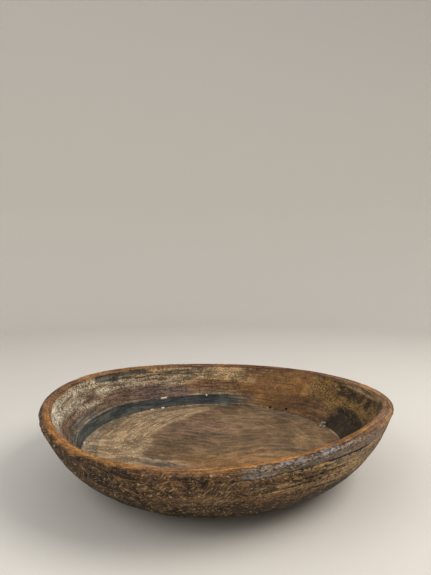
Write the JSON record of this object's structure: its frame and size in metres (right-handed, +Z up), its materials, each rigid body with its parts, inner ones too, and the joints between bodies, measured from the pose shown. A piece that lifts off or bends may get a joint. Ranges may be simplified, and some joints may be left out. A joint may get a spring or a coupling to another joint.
{
  "type": "carved wooden bowl",
  "caption": "Wide shallow round bowl carved from one block of hardwood, with a thick uneven rim, a flat floor with a steep cove around it, and a flat base.",
  "frame": {"origin": "centre of the flat base, on the surface that the bowl stands on", "axes": "+Z up through the open mouth, +X to the right and +Y away from the viewer, who sees the rim's low front edge"},
  "size_m": [0.5152, 0.4848, 0.1155],
  "materials": {
    "bowl_wood": "worn and waxed, brown with pale scuffs and an orange-brown rim",
    "knot_fill": "dry, crumbly, pale",
    "nick_fill": "dry, smooth, pale"
  },
  "bodies": {
    "root": {"bowl_body": "bowl_wood", "knot_filler": "knot_fill", "nick_fillings": "nick_fill"}
  },
  "joints": []
}
